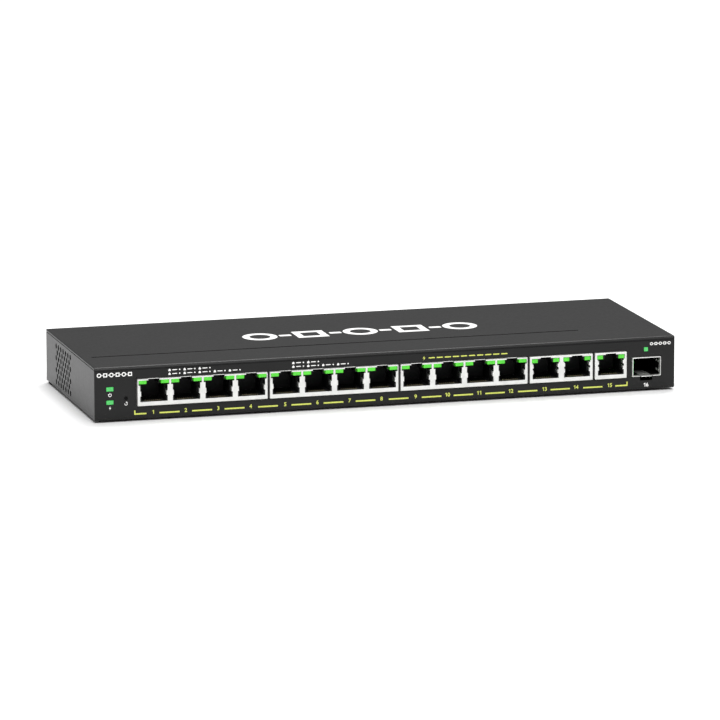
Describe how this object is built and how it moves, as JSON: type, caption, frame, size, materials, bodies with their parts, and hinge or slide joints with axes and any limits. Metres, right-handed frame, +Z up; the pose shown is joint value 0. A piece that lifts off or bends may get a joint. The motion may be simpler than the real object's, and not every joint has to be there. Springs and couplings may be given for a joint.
{
  "type": "desktop network switch",
  "caption": "Low, wide desktop Ethernet switch: rows of RJ45 jacks and one SFP cage along the front of a folded black steel case on rubber feet, with a barrel power inlet at the back.",
  "frame": {"origin": "on the table under the middle of the whole object's box, at the feet's undersides", "axes": "+X along the row of ports, from port 1 to the SFP port; +Y from the port side to the back; +Z up"},
  "size_m": [0.286, 0.1046, 0.0265],
  "materials": {
    "case_paint": "fine-textured satin black powder coat",
    "plated_steel": "bright tin-nickel plate",
    "black_moulding": "matt black moulded plastic",
    "contact_gold": "gold-plated spring wire",
    "port_light": "clear light pipe, lit green",
    "panel_light": "clear light pipe, lit soft green",
    "foot_rubber": "matt black rubber",
    "board_laminate": "green solder mask on glass laminate",
    "zinc_steel": "zinc-plated steel",
    "heatsink_aluminium": "extruded, clear anodised",
    "chip_epoxy": "moulded epoxy",
    "capacitor_sleeve": "shrink sleeve over an aluminium can"
  },
  "bodies": {
    "case": {"base_tray": "case_paint", "top_cover": "case_paint", "foot_rear_left": "foot_rubber", "foot_front_left": "foot_rubber", "foot_rear_right": "foot_rubber", "foot_front_right": "foot_rubber", "cover_screw_1": "zinc_steel", "cover_screw_2": "zinc_steel", "cover_screw_3": "zinc_steel", "main_board": "board_laminate", "standoff_1": "zinc_steel", "board_screw_1": "zinc_steel", "standoff_2": "zinc_steel", "board_screw_2": "zinc_steel", "standoff_3": "zinc_steel", "board_screw_3": "zinc_steel", "standoff_4": "zinc_steel", "board_screw_4": "zinc_steel", "jack_shield_1_4": "plated_steel", "jack_housing_1_4": "black_moulding", "jack_contacts_1_4": "contact_gold", "jack_lights_1_4": "port_light", "jack_shield_5_8": "plated_steel", "jack_housing_5_8": "black_moulding", "jack_contacts_5_8": "contact_gold", "jack_lights_5_8": "port_light", "jack_shield_9_12": "plated_steel", "jack_housing_9_12": "black_moulding", "jack_contacts_9_12": "contact_gold", "jack_lights_9_12": "port_light", "jack_shield_13_14": "plated_steel", "jack_housing_13_14": "black_moulding", "jack_contacts_13_14": "contact_gold", "jack_lights_13_14": "port_light", "jack_shield_15": "plated_steel", "jack_housing_15": "black_moulding", "jack_contacts_15": "contact_gold", "jack_lights_15": "port_light", "sfp_cage": "plated_steel", "sfp_connector": "black_moulding", "power_light_pipe": "panel_light", "poe_light_pipe": "panel_light", "sfp_light_pipe": "panel_light", "reset_switch": "black_moulding", "inlet_body": "black_moulding", "inlet_pin": "plated_steel", "switch_chip": "chip_epoxy", "heatsink": "heatsink_aluminium", "poe_chip_left": "chip_epoxy", "poe_chip_right": "chip_epoxy", "magnetics_1": "chip_epoxy", "magnetics_2": "chip_epoxy", "magnetics_3": "chip_epoxy", "magnetics_4": "chip_epoxy", "bulk_capacitor_1": "capacitor_sleeve", "bulk_capacitor_2": "capacitor_sleeve", "power_inductor": "chip_epoxy"},
    "reset_plunger": {"reset_plunger": "black_moulding"},
    "sfp_latch": {"sfp_latch": "plated_steel"},
    "inlet_spring": {"inlet_spring": "plated_steel"}
  },
  "joints": [
    {"name": "reset_press", "type": "slide", "parent": "case", "child": "reset_plunger", "axis": [0, 1, 0], "range_m": [0, 0.0003], "stiffness_N_per_m": 1200},
    {"name": "sfp_latch_flex", "type": "hinge", "parent": "case", "child": "sfp_latch", "pos_m": [0.1286, -0.0378, 0.0077], "axis": [1, 0, 0], "range_deg": [0, 5], "stiffness_Nm_per_rad": 0.2},
    {"name": "inlet_spring_flex", "type": "hinge", "parent": "case", "child": "inlet_spring", "pos_m": [0.09, 0.0407, 0.01075], "axis": [1, 0, 0], "range_deg": [-3, 0], "stiffness_Nm_per_rad": 0.05}
  ]
}
